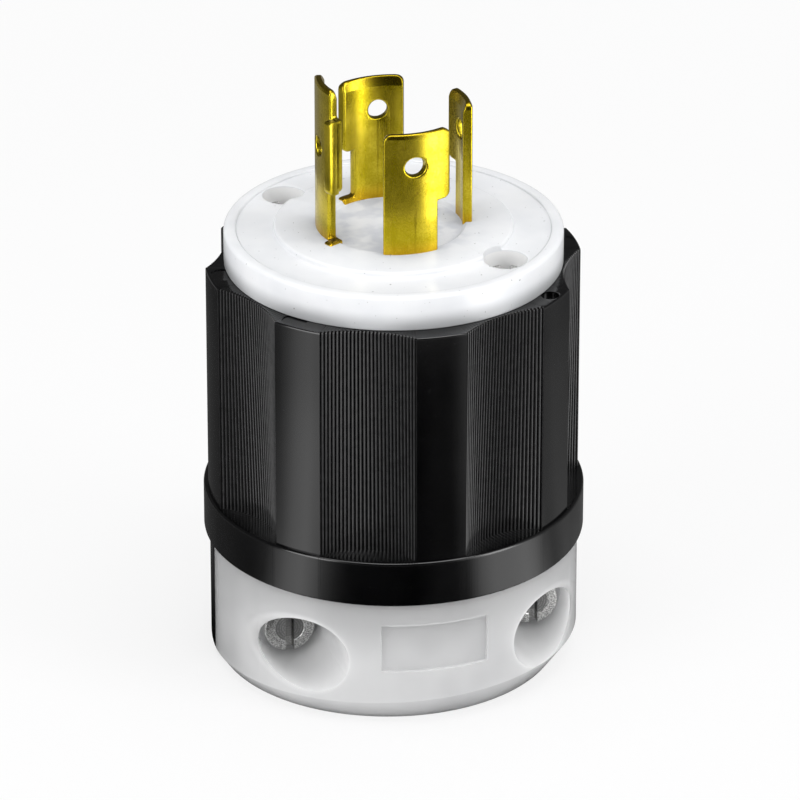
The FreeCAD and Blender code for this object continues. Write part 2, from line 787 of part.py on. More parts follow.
def make_clamp_fasteners():
    for side, name in ((-1, "left"), (1, "right")):
        across = f"{side} * well_offset"
        screw = screw_body("clamp_screw_" + name, "clamp_head_radius", "clamp_head_height",
                           "clamp_screw_radius", "clamp_screw_length")
        screw.Placement.Rotation = FreeCAD.Rotation(FreeCAD.Vector(1, 0, 0), 90)
        bind(screw, Placement__Base__x=across, Placement__Base__y="-well_seat",
             Placement__Base__z="well_height")
        parts["clamp_screw_" + name] = screw
        blank = bind(doc.addObject("Part::Box", f"nut_{name}_blank"), Length="nut_width",
                     Width="nut_thickness", Height="nut_width",
                     Placement__Base__x=f"{across} - nut_width / 2",
                     Placement__Base__y="nut_seat",
                     Placement__Base__z="well_height - nut_width / 2")
        bore = cylinder(f"nut_{name}_bore", "clamp_screw_radius", "nut_thickness + 2")
        bore.Placement.Rotation = FreeCAD.Rotation(FreeCAD.Vector(1, 0, 0), -90)
        bind(bore, Placement__Base__x=across, Placement__Base__y="nut_seat - 1",
             Placement__Base__z="well_height")
        parts["clamp_nut_" + name] = cut(f"nut_{name}_cut", blank, bore)


# Dust shield: a soft disc on the sleeve's floor, notched for the two posts.
def make_dust_shield():
    body = doc.addObject("PartDesign::Body", "shield_body")
    disc = sketch_on(body, "shield_outline", "XY_Plane", "cavity_floor")
    draw_circle(disc, "0", "0", "shield_radius")
    draw_circle(disc, "0", "0", "shield_hole_radius")
    pad(body, disc, "shield_thickness")
    posts = sketch_on(body, "shield_posts", "XY_Plane", "cavity_floor + shield_thickness")
    for turn in (0, 180):
        draw_circle(posts, *fixing_place(turn), "boss_post_radius + post_clearance")
    body.Tip = pocket(body, posts, "shield_thickness + 1")
    parts["dust_shield"] = body


make_housing()
make_cord_clamp()
make_face()
make_terminal_block()
for blade, angle in blade_places.items():
    make_blade(blade, angle)
    make_terminal(blade, angle)
make_fixings()
make_clamp_fasteners()
make_dust_shield()

for label, piece in parts.items():
    piece.Label = label
doc.recompute()

# Every object has to be sound before anything is written.
for item in doc.Objects:
    if "Invalid" in item.State or "Error" in item.State:
        raise RuntimeError(f"{item.Label} failed: {item.State}")
for label, piece in parts.items():
    if piece.Shape.isNull() or not piece.Shape.isValid() or not piece.Shape.Solids:
        raise RuntimeError(f"{label} has no valid solid")

for label, piece in parts.items():
    piece.Shape.exportStep(f"parts/{label}.step")
    box = piece.Shape.optimalBoundingBox()
    print(f"{label}: {piece.Shape.Volume:.1f} mm3, {len(piece.Shape.Solids)} solid(s), "
          f"x {box.XMin:.2f} to {box.XMax:.2f}, y {box.YMin:.2f} to {box.YMax:.2f}, "
          f"z {box.ZMin:.2f} to {box.ZMax:.2f}")
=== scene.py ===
import json
import math

import bmesh
import bpy
from mathutils import Matrix, Vector


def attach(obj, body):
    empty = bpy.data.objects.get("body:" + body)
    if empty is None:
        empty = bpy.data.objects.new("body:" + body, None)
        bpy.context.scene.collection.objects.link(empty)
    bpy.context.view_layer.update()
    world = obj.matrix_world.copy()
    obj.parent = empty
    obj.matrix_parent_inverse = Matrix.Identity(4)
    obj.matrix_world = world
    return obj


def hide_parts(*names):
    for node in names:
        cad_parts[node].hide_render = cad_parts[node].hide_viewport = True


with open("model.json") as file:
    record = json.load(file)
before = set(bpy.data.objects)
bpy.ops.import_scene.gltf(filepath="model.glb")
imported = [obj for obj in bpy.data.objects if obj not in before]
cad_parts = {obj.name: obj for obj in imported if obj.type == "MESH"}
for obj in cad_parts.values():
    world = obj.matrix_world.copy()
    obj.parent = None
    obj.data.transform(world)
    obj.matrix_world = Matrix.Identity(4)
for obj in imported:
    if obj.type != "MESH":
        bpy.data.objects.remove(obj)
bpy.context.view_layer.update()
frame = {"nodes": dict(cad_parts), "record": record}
mm = 0.001
print("frame loaded:", len(frame["nodes"]), "nodes")

scene = bpy.context.scene
scene.view_settings.view_transform = "Standard"


# camera: a long lens, level with the photograph's
cameraSet = {
    "target": (0, 0, 35.82 * mm),
    "elevation": 26.2,
    "azimuth": -13.3,
    "distance": 0.889,
    "lens": 300.8,
    "sensor": 36.0,
    "shiftX": 0.008,
    "clip": (0.05, 20),
}


def placeCamera():
    a = math.radians(cameraSet["azimuth"])
    e = math.radians(cameraSet["elevation"])
    back = Vector((math.sin(a) * math.cos(e), -math.cos(a) * math.cos(e), math.sin(e)))
    data = bpy.data.cameras.new("camera")
    data.lens = cameraSet["lens"]
    data.sensor_width = cameraSet["sensor"]
    data.shift_x = cameraSet["shiftX"]
    data.clip_start, data.clip_end = cameraSet["clip"]
    camera = bpy.data.objects.new("camera", data)
    scene.collection.objects.link(camera)
    camera.location = Vector(cameraSet["target"]) + back * cameraSet["distance"]
    camera.rotation_euler = (-back).to_track_quat("-Z", "Y").to_euler()
    scene.camera = camera


placeCamera()
print("camera placed")


# node building: an expression on wires adds its Math nodes
class Wire:
    def __init__(self, finish, socket):
        self.finish, self.socket = finish, socket

    def math(self, operation, first, second):
        return self.finish.math(operation, first, second)

    def __add__(self, other): return self.math("ADD", self, other)
    def __radd__(self, other): return self.math("ADD", other, self)
    def __sub__(self, other): return self.math("SUBTRACT", self, other)
    def __rsub__(self, other): return self.math("SUBTRACT", other, self)
    def __mul__(self, other): return self.math("MULTIPLY", self, other)
    def __rmul__(self, other): return self.math("MULTIPLY", other, self)
    def __truediv__(self, other): return self.math("DIVIDE", self, other)
    def __pow__(self, other): return self.math("POWER", self, other)


class Nodes:
    # the nodes of a material or a world
    def __init__(self, tree):
        self.tree = tree

    def node(self, kind, settings=None, values=None, output=0):
        made = self.tree.nodes.new(kind)
        for key, setting in (settings or {}).items():
            if key == "stops":
                self.setStops(made.color_ramp, setting)
            else:
                setattr(made, key, setting)
        for key, entry in (values or {}).items():
            self.feed(made.inputs[key], entry)
        return Wire(self, made.outputs[output])

    def setStops(self, ramp, stops):
        while len(ramp.elements) < len(stops):
            ramp.elements.new(0.5)
        for element, (place, colour) in zip(ramp.elements, stops):
            element.position = place
            element.color = colour

    def feed(self, socket, entry):
        if isinstance(entry, Wire):
            self.tree.links.new(entry.socket, socket)
        else:
            socket.default_value = entry

    def math(self, operation, first, second):
        return self.node("ShaderNodeMath", {"operation": operation}, {0: first, 1: second})

    def place(self, stretch=(1, 1, 1)):
        point = self.node("ShaderNodeTexCoord", output="Object")
        return self.node("ShaderNodeVectorMath", {"operation": "MULTIPLY"}, {0: point, 1: stretch})

    def axes(self, *wanted):
        # coordinates of the point: 0 for X, 1 for Y, 2 for Z
        return [self.node("ShaderNodeSeparateXYZ", {}, {0: self.place()}, output=axis)
                for axis in wanted]

    def attribute(self, name):
        return self.node("ShaderNodeAttribute", {"attribute_name": name}, output="Fac")

    def rays(self, *kinds):
        return [self.node("ShaderNodeLightPath", output=kind) for kind in kinds]

    def noise(self, scale, detail=3.0, rough=0.55, stretch=(1, 1, 1)):
        return self.node("ShaderNodeTexNoise", {}, {
            "Vector": self.place(stretch), "Scale": scale, "Detail": detail, "Roughness": rough})

    def ramp(self, wire, low, high):
        return self.node("ShaderNodeMapRange", {"interpolation_type": "SMOOTHSTEP"}, {
            "Value": wire, "From Min": low, "From Max": high})

    def rampBetween(self, wire, limits):
        # a ramp over a length, its limits in millimetres
        return self.ramp(wire, *[limit * mm for limit in limits])

    def blend(self, amount, first, second):
        # Mix in colour mode: sockets 6 and 7 are its two colours
        return self.node("ShaderNodeMix", {"data_type": "RGBA"},
                         {0: amount, 6: first, 7: second}, output=2)

    def bump(self, height, size, under=None):
        # size is the strength and the depth in millimetres
        values = {"Height": height, "Strength": size[0], "Distance": size[1] * mm}
        if under is not None:
            values["Normal"] = under
        return self.node("ShaderNodeBump", {}, values)


class Finish(Nodes):
    # one material
    def __init__(self, name):
        self.material = bpy.data.materials.new(name)
        self.material.use_nodes = True
        super().__init__(self.material.node_tree)
        self.shader = self.tree.nodes["Principled BSDF"]

    def dress(self, **values):
        for name, entry in values.items():
            self.feed(self.shader.inputs[name.replace("_", " ")], entry)


# in the looks below, a noise is scale, detail, roughness and stretch, a pair
# named At is where a ramp starts and ends, and a Bump is strength and depth
blackLook = {
    "colour": (0.0012, 0.0012, 0.0014, 1), "worn": (0.0028, 0.0028, 0.0031, 1),
    "wornAt": (0.35, 0.7),
    "dust": (0.030, 0.030, 0.030, 1), "dustAt": (0.66, 0.74), "dustShare": 0.5,
    # the lighter grey below is a painted highlight on the ribs' crests
    "crestHighlight": (0.058, 0.058, 0.059, 1), "crestHighlightAt": (0.3, 0.6), "crestHighlightLeast": 0.7,
    "cloudNoise": (140.0,), "grainNoise": (5200.0, 2.0),
    "dustNoise": (1500.0, 4.0, 0.7), "crestHighlightNoise": (900.0, 3.0, 0.6),
    "roughness": 0.09, "cloudRough": 0.09, "dustRough": 0.15, "specular": 0.68,
    "grainBump": (0.05, 0.03), "cloudBump": (0.10, 0.12),
}


def blackNylon():
    own, look = blackLook, Finish("blackNylon")
    cloud = look.noise(*own["cloudNoise"])
    dust = look.ramp(look.noise(*own["dustNoise"]), *own["dustAt"])
    crestHighlightPatches = look.ramp(look.noise(*own["crestHighlightNoise"]), *own["crestHighlightAt"])
    least = own["crestHighlightLeast"]
    crestHighlight = look.attribute("crest") * (least + (1 - least) * crestHighlightPatches)  # painted highlight along the ribs' crests, patchy by a noise
    base = look.blend(look.ramp(cloud, *own["wornAt"]), own["colour"], own["worn"])
    base = look.blend(crestHighlight, base, own["crestHighlight"])
    look.dress(Base_Color=look.blend(dust * own["dustShare"], base, own["dust"]),
               Roughness=own["roughness"] + cloud * own["cloudRough"] + dust * own["dustRough"],
               Normal=look.bump(look.noise(*own["grainNoise"]), own["grainBump"],
                                look.bump(cloud, own["cloudBump"])),
               Specular_IOR_Level=own["specular"])
    return look.material


whiteLook = {
    "colour": (0.91, 0.92, 0.94, 1), "shade": (0.85, 0.865, 0.89, 1), "shadeAt": (0.3, 0.75),
    "speck": (0.20, 0.20, 0.19, 1), "speckAt": (0.755, 0.80), "speckShare": 0.7,
    # the darker grey below is painted shade at the rim's foot
    "rimFootShade": (0.50, 0.51, 0.52, 1), "rimFootShadeHigh": (57.2, 59.4), "rimFootShadeShare": 0.8,
    # the near-white below is painted light inside the recesses
    "wallFrom": (21.5, 22.0), "hollow": (0.985, 0.985, 0.985, 1), "hollowHigh": (60.9, 61.1),
    "patch": (0.70, 0.72, 0.77, 1), "patchWithin": (8.0, 13.5), "patchAt": (0.42, 0.60),
    "patchShare": 0.75,
    "cloudNoise": (170.0, 2.0), "speckNoise": (2300.0, 1.0, 0.5),
    "patchNoise": (290.0, 2.0, 0.5), "skinNoise": (420.0, 2.0), "skinBump": (0.12, 0.10),
    "roughness": 0.17, "cloudRough": 0.10, "subsurface": 0.20, "depth": 1.5,
}


def whiteNylon():
    own, look = whiteLook, Finish("whiteNylon")
    cloud = look.noise(*own["cloudNoise"])
    speck = look.ramp(look.noise(*own["speckNoise"]), *own["speckAt"])
    patch = look.ramp(look.noise(*own["patchNoise"]), *own["patchAt"])
    x, y, height = look.axes(0, 1, 2)
    away = (x * x + y * y) ** 0.5
    wall = look.rampBetween(away, own["wallFrom"])
    outside = look.rampBetween(away, own["patchWithin"])
    above = look.rampBetween(height, own["hollowHigh"])
    rimFootShade = 1 - look.rampBetween(height, own["rimFootShadeHigh"])
    base = look.blend(look.ramp(cloud, *own["shadeAt"]), own["colour"], own["shade"])
    # painted shade darkens the foot of the rim, where it meets the sleeve
    base = look.blend(rimFootShade * wall * own["rimFootShadeShare"], base, own["rimFootShade"])
    # faint sink marks round the blades
    base = look.blend((1 - outside) * patch * own["patchShare"], base, own["patch"])
    # painted light keeps the recesses bright inside
    base = look.blend((1 - wall) * (1 - above), base, own["hollow"])
    look.dress(Base_Color=look.blend(speck * own["speckShare"], base, own["speck"]),
               Roughness=own["roughness"] + cloud * own["cloudRough"],
               Normal=look.bump(look.noise(*own["skinNoise"]), own["skinBump"]),
               Subsurface_Weight=own["subsurface"], Subsurface_Scale=own["depth"] * mm,
               Subsurface_Radius=(1.0, 1.0, 1.0))
    return look.material


milkyLook = {
    "colour": (0.70, 0.702, 0.705, 1), "deep": (0.61, 0.612, 0.618, 1), "deepAt": (0.35, 0.75),
    # the darker grey below is painted shade beside the parting line
    "partingShade": (0.44, 0.442, 0.445, 1), "partingShadeFrom": (-11.0, -6.5), "partingShadeShare": 0.45,
    # the darker grey below is painted shade under the ring
    "ringShade": (0.50, 0.502, 0.505, 1), "ringShadeHigh": (8.5, 16.0), "ringShadeShare": 0.8,
    # the paler grey below is painted light inside the wells
    "well": (0.86, 0.862, 0.865, 1), "wellMiddle": (16.7, 9.05), "wellWithin": (5.2, 6.0),
    "wellLightShare": 0.6,
    "cloudNoise": (90.0, 2.0), "skinNoise": (350.0, 2.0), "skinBump": (0.10, 0.12),
    "roughness": 0.17, "cloudRough": 0.08, "subsurface": 1.0, "depth": 8.0,
}


def milkyNylon():
    own, look = milkyLook, Finish("milkyNylon")
    cloud = look.noise(*own["cloudNoise"])
    x, y, height = look.axes(0, 1, 2)
    partingShade = look.rampBetween(y, own["partingShadeFrom"])
    ringShade = look.rampBetween(height, own["ringShadeHigh"])
    fromX = look.math("ABSOLUTE", x, 0.0) - own["wellMiddle"][0] * mm
    fromZ = height - own["wellMiddle"][1] * mm
    well = 1 - look.rampBetween((fromX * fromX + fromZ * fromZ) ** 0.5, own["wellWithin"])
    base = look.blend(look.ramp(cloud, *own["deepAt"]), own["colour"], own["deep"])
    # painted shade darkens the top under the ring, and painted light brightens the wells inside
    base = look.blend(ringShade * own["ringShadeShare"], base, own["ringShade"])
    base = look.blend(well * own["wellLightShare"], base, own["well"])
    # painted shade darkens the wall beside the parting line
    look.dress(Base_Color=look.blend(partingShade * own["partingShadeShare"], base, own["partingShade"]),
               Roughness=own["roughness"] + cloud * own["cloudRough"],
               Normal=look.bump(look.noise(*own["skinNoise"]), own["skinBump"]),
               Subsurface_Weight=own["subsurface"], Subsurface_Scale=own["depth"] * mm,
               Subsurface_Radius=(1.0, 1.0, 1.0))
    return look.material


brassLook = {
    "bright": (0.70, 0.55, 0.040, 1), "olive": (0.46, 0.36, 0.010, 1), "oliveAt": (0.38, 0.62),
    "oliveMix": (0.45, 0.15, 0.4),
    "stainAndLeadShade": (0.26, 0.13, 0.006, 1), "stainAt": (0.58, 0.74), "stainShare": 0.45,
    # the stain colour also gives the painted shade on the lead-in tips
    "leadShadeLeast": 0.35, "leadShadeMore": 0.4,
    # the orange below is a painted glow at the blade's foot
    "paintedFootGlow": (0.80, 0.40, 0.012, 1), "paintedFootGlowHigh": (64.2, 61.2), "paintedFootGlowShare": 0.55,
    "cast": (0.28, 0.27, 0.24, 1), "castShare": 0.9,
    "rolledNoise": (1.0, 3.0, 0.6, (300, 300, 6500)),
    "drawnNoise": (1.0, 3.0, 0.6, (1500, 1500, 60)),
    "cloudNoise": (240.0, 3.0, 0.6), "grainNoise": (4200.0, 3.0, 0.65),
    "stainNoise": (620.0, 5.0, 0.75),
    "rolledBump": (0.07, 0.015), "drawnBump": (0.09, 0.020), "grainBump": (0.16, 0.02),
    "roughness": 0.15, "drawnRough": 0.10, "cloudRough": 0.06, "grainRough": 0.06,
}


def rolledBrass():
    own, look = brassLook, Finish("rolledBrass")
    rolled, drawn, cloud, grain = [look.noise(*own[key]) for key in (
        "rolledNoise", "drawnNoise", "cloudNoise", "grainNoise")]
    stainAndLeadShade = look.ramp(look.noise(*own["stainNoise"]), *own["stainAt"])
    byCloud, byDrawn, byGrain = own["oliveMix"]
    olive = look.ramp(cloud * byCloud + drawn * byDrawn + grain * byGrain, *own["oliveAt"])
    tone = look.blend(olive, own["bright"], own["olive"])
    tone = look.blend(stainAndLeadShade * own["stainShare"], tone, own["stainAndLeadShade"])
    # painted shade browns the lead-in tips, and a painted warm glow lies where the blade meets the
    # face
    leadShade = look.attribute("lead") * (own["leadShadeLeast"] + own["leadShadeMore"] * stainAndLeadShade)
    tone = look.blend(leadShade, tone, own["stainAndLeadShade"])
    height, = look.axes(2)
    paintedFootGlow = look.rampBetween(height, own["paintedFootGlowHigh"])
    tone = look.blend(paintedFootGlow * own["paintedFootGlowShare"], tone, own["paintedFootGlow"])
    # little of its colour falls on the white face
    diffuse, glossy = look.rays("Is Diffuse Ray", "Is Glossy Ray")
    look.dress(Base_Color=look.blend((diffuse + glossy) * own["castShare"], tone, own["cast"]),
               Metallic=1.0,
               Roughness=(own["roughness"] + drawn * own["drawnRough"] + cloud * own["cloudRough"]
                          + grain * own["grainRough"]),
               Normal=look.bump(drawn, own["drawnBump"], look.bump(
                   rolled, own["rolledBump"], look.bump(grain, own["grainBump"]))))
    return look.material


turnedLook = {
    "bright": (0.60, 0.44, 0.10, 1), "dull": (0.48, 0.34, 0.07, 1),
    "grainNoise": (3800.0, 2.0), "roughness": 0.28, "grainRough": 0.12, "grainBump": (0.12, 0.02),
}


def turnedBrass():
    own, look = turnedLook, Finish("turnedBrass")
    grain = look.noise(*own["grainNoise"])
    look.dress(Base_Color=look.blend(grain, own["bright"], own["dull"]), Metallic=1.0,
               Roughness=own["roughness"] + grain * own["grainRough"],
               Normal=look.bump(grain, own["grainBump"]))
    return look.material


steelLook = {
    "bright": (0.46, 0.46, 0.45, 1), "dull": (0.24, 0.24, 0.235, 1), "dullAt": (0.3, 0.7),
    "cloudNoise": (700.0, 3.0, 0.6), "grainNoise": (4200.0, 3.0),
    "roughness": 0.26, "cloudRough": 0.20, "grainBump": (0.25, 0.03),
}


def platedSteel():
    own, look = steelLook, Finish("platedSteel")
    cloud = look.noise(*own["cloudNoise"])
    look.dress(Base_Color=look.blend(look.ramp(cloud, *own["dullAt"]), own["bright"], own["dull"]),
               Metallic=1.0, Roughness=own["roughness"] + cloud * own["cloudRough"],
               Normal=look.bump(look.noise(*own["grainNoise"]), own["grainBump"]))
    return look.material


screwLook = {
    "bright": (0.78, 0.78, 0.77, 1), "dull": (0.30, 0.30, 0.295, 1), "dullAt": (0.44, 0.56),
    "dish": (0.23, 0.23, 0.228, 1), "dishWithin": (1.86, 2.0), "dishLeast": 0.85, "ring": 0.34,
    # the slot's grey and the wall's black below are painted shade and painted shadow
    "slot": (0.42, 0.42, 0.41, 1), "slotWithin": (0.56, 0.60),
    "wall": (0.03, 0.03, 0.03, 1), "wallFrom": (0.50, 0.57),
    "speckNoise": (5600.0, 4.0, 0.75), "cloudNoise": (900.0, 3.0, 0.6), "speckBump": (0.40, 0.04),
    "roughness": 0.30, "cloudRough": 0.25,
}


def headSteel():
    # a screw's own coordinates: its axis is Z and its slot lies along Y
    own, look = screwLook, Finish("headSteel")
    speck, cloud = look.noise(*own["speckNoise"]), look.noise(*own["cloudNoise"])
    x, y = look.axes(0, 1)
    away = (x * x + y * y) ** 0.5
    rings = look.math("SINE", away * (2 * math.pi / (own["ring"] * mm)), 0.0)
    dish = 1 - look.rampBetween(away, own["dishWithin"])
    slot = 1 - look.rampBetween(look.math("ABSOLUTE", x, 0.0), own["slotWithin"])
    wall = slot * look.rampBetween(x, own["wallFrom"])
    least = own["dishLeast"]
    tone = look.blend(look.ramp(speck, *own["dullAt"]), own["bright"], own["dull"])
    tone = look.blend(dish * (least + (1 - least) * rings), tone, own["dish"])
    # painted shade darkens the slot's floor
    tone = look.blend(slot * cloud, tone, own["slot"])
    # painted shadow blackens the slot's right wall
    look.dress(Base_Color=look.blend(wall, tone, own["wall"]), Metallic=1.0,
               Roughness=own["roughness"] + cloud * own["cloudRough"],
               Normal=look.bump(speck, own["speckBump"]))
    return look.material


rubberLook = {
    "dark": (0.020, 0.020, 0.020, 1), "pale": (0.034, 0.034, 0.034, 1),
    "grainNoise": (2600.0, 3.0), "roughness": 0.62, "grainRough": 0.15, "grainBump": (0.2, 0.04),
}


def softRubber():
    own, look = rubberLook, Finish("softRubber")
    grain = look.noise(*own["grainNoise"])
    look.dress(Base_Color=look.blend(grain, own["dark"], own["pale"]),
               Roughness=own["roughness"] + grain * own["grainRough"],
               Normal=look.bump(grain, own["grainBump"]))
    return look.material


finishes = {
    "black_nylon": blackNylon(),
    "white_nylon": whiteNylon(),
    "clear_nylon": milkyNylon(),
    "blade_brass": rolledBrass(),
    "brass": turnedBrass(),
    "steel": platedSteel(),
    "head_steel": headSteel(),
    "black_rubber": softRubber(),
}
print("finishes made:", ", ".join(finishes))


# mesh helpers
nearly = 0.0005 * mm  # points closer than this are one
onAxis = 0.001  # where a closed profile meets its axis, in millimetres
spare = 1  # how far a cutting tool goes past what it cuts, in millimetres


def meshObject(name, bm):
    mesh = bpy.data.meshes.new(name)
    bmesh.ops.recalc_face_normals(bm, faces=bm.faces)
    bm.to_mesh(mesh)
    bm.free()
    made = bpy.data.objects.new(name, mesh)
    scene.collection.objects.link(made)
    return made


def arcTo(centre, radius, first, last, steps):
    # points of an arc in the (r, z) plane, angles in degrees
    turns = [math.radians(first + (last - first) * i / steps) for i in range(steps + 1)]
    return [(centre[0] + radius * math.cos(t), centre[1] + radius * math.sin(t)) for t in turns]


def rounded(corners, steps=4):
    # a closed outline whose third number, where given, rounds that corner
    outline = []
    count = len(corners)
    for i, corner in enumerate(corners):
        here = Vector(corner[:2])
        if len(corner) < 3:
            outline.append(tuple(here))
            continue
        before = (Vector(corners[i - 1][:2]) - here).normalized()
        after = (Vector(corners[(i + 1) % count][:2]) - here).normalized()
        half = before.angle(after) / 2
        reach = corner[2] / math.tan(half)
        middle = here + (before + after).normalized() * corner[2] / math.sin(half)
        start, end = here + before * reach - middle, here + after * reach - middle
        whole = start.angle_signed(end)
        for k in range(steps + 1):
            turn = Matrix.Rotation(-whole * k / steps, 2)
            outline.append(tuple(middle + turn @ start))
    return outline


def turned(name, profileAt, degrees, closed=True):
    # a solid of revolution whose closed profile of (r, z) may change with the angle
    bm = bmesh.new()
    rows = []
    for degree in degrees:
        a = math.radians(degree)
        rows.append([bm.verts.new((r * math.cos(a) * mm, r * math.sin(a) * mm, z * mm))
                     for r, z in profileAt(degree)])
    for one, two in zip(rows, rows[1:] + rows[:1] if closed else rows[1:]):
        for i in range(len(one)):
            j = (i + 1) % len(one)
            bm.faces.new((one[i], two[i], two[j], one[j]))
    if not closed:
        bm.faces.new(rows[0])
        bm.faces.new(rows[-1][::-1])
    return meshObject(name, bm)


def around(count, start=0.0, sweep=360.0, closed=True):
    steps = count if closed else count - 1
    return [start + sweep * i / steps for i in range(count)]


def rod(name, radius, farRadius, start, end, sides=72):
    # a round bar or cone from one point to another, in millimetres
    first, last = Vector(start) * mm, Vector(end) * mm
    bm = bmesh.new()
    bmesh.ops.create_cone(bm, cap_ends=True, segments=sides, radius1=radius * mm,
                          radius2=farRadius * mm, depth=(last - first).length)
    turn = (last - first).to_track_quat("Z", "Y").to_matrix().to_4x4()
    bmesh.ops.transform(bm, matrix=Matrix.Translation((first + last) / 2) @ turn, verts=bm.verts)
    return meshObject(name, bm)


def block(name, low, high):
    bm = bmesh.new()
    bmesh.ops.create_cube(bm, size=1)
    size = Vector(high) - Vector(low)
    for vert in bm.verts:
        vert.co = Vector([(low[i] + size[i] * (vert.co[i] + 0.5)) * mm for i in range(3)])
    return meshObject(name, bm)


def settle(piece):
    # turn the modifiers into mesh
    bpy.context.view_layer.update()
    graph = bpy.context.evaluated_depsgraph_get()
    mesh = bpy.data.meshes.new_from_object(piece.evaluated_get(graph))
    old = piece.data
    piece.modifiers.clear()
    piece.data = mesh
    bpy.data.meshes.remove(old)


def combine(piece, tools, operation="DIFFERENCE"):
    for tool in tools:
        step = piece.modifiers.new("combine", "BOOLEAN")
        step.operation = operation
        step.solver = "EXACT"
        step.object = tool
    settle(piece)
    for tool in tools:
        bpy.data.objects.remove(tool)


def absorb(piece, other):
    # the other mesh becomes a second shell of the piece
    bm = bmesh.new()
    bm.from_mesh(piece.data)
    bm.from_mesh(other.data)
    bm.to_mesh(piece.data)
    bm.free()
    bpy.data.objects.remove(other)


def soften(piece, width, segments=3, angle=32):
    step = piece.modifiers.new("soften", "BEVEL")
    step.width = width * mm
    step.segments = segments
    step.limit_method = "ANGLE"
    step.angle_limit = math.radians(angle)
    step.use_clamp_overlap = True
    step.miter_outer = "MITER_ARC"
    settle(piece)


def smooth(piece, angle=30):
    bm = bmesh.new()
    bm.from_mesh(piece.data)
    bmesh.ops.remove_doubles(bm, verts=bm.verts, dist=nearly)
    bmesh.ops.dissolve_degenerate(bm, edges=bm.edges, dist=nearly)
    for face in bm.faces:
        face.smooth = True
    for edge in bm.edges:
        edge.smooth = edge.is_manifold and edge.calc_face_angle(0) < math.radians(angle)
    bm.to_mesh(piece.data)
    bm.free()


def hand(piece, slot, *nodes, finish=None):
    # the piece takes its finish, rides on the plug and stands for its solids
    piece.data.materials.clear()
    piece.data.materials.append(finishes[finish or slot])
    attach(piece, "root")
    if nodes:
        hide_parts(*nodes)
    return piece


# grip: sleeve with ribbed hollows, flange ring and the rear clamp half
shallowMark = (1.7, 23.0, 0.12)
grip = {
    "ringRadius": 25.4, "ringLow": 18.1, "ringHigh": 24.45, "ringEdge": 0.35,
    "sleeveRadius": 24.88, "sleeveTop": 56.7, "sleeveEdge": 0.22, "guard": 0.06,
    "cavityRadius": 19.5, "cavityFloor": 20.6, "cordRadius": 9.5,
    "hollows": 8, "landHalf": 7.7, "depthTop": 1.28, "depthLow": 2.43,
    "ribs": 27, "ribDepth": 0.27, "pointsPerRib": 8, "landPoints": 8, "turn": 1.3, "crestPower": 3,
    "edgeSteps": 4, "wallSteps": 3, "topSlopes": (30, 60, 90), "markSides": 32,
    # ejector marks by bearing: radius, distance from the axis and depth
    "marks": {180: shallowMark, -137: shallowMark, -43: (1.2, 23.45, 0.6), 0: shallowMark,
              45: shallowMark, 90: shallowMark, 135: (0.95, 23.3, 0.6)},
}


def hollowOutline(depth):
    # one ribbed hollow, seen from above, centred on +X
    half = math.radians(180 / grip["hollows"] - grip["landHalf"])
    chord = grip["sleeveRadius"] * math.sin(half)
    bow = (chord ** 2 + depth ** 2) / (2 * depth)
    centre = grip["sleeveRadius"] * math.cos(half) + bow - depth
    swing = math.asin(chord / bow)
    steps = grip["ribs"] * grip["pointsPerRib"]
    points = []
    for i in range(steps + 1):
        turn = swing * (2 * i / steps - 1)
        reach = bow + grip["ribDepth"] * (1 - ribWave(i))
        points.append((centre - reach * math.cos(turn), reach * math.sin(turn)))
    return points


def ribWave(i):
    # 1 on a rib's round crest, 0 in the groove beside it
    return math.sqrt(max(0.0, math.cos(2 * math.pi * i / grip["pointsPerRib"]) * 0.5 + 0.5))


def sleeveOutline(depth, inset=0.0):
    points = []
    for place in range(grip["hollows"]):
        middle = math.radians(360 / grip["hollows"] * (place + 0.5) + grip["turn"])
        c, s = math.cos(middle), math.sin(middle)
        points += [(x * c - y * s, x * s + y * c) for x, y in hollowOutline(depth)]
        first = math.degrees(middle) + 180 / grip["hollows"] - grip["landHalf"]
        for i in range(1, grip["landPoints"]):
            a = math.radians(first + 2 * grip["landHalf"] * i / grip["landPoints"])
            points.append((grip["sleeveRadius"] * math.cos(a), grip["sleeveRadius"] * math.sin(a)))
    return [Vector(p) * (1 - inset / Vector(p).length) for p in points]


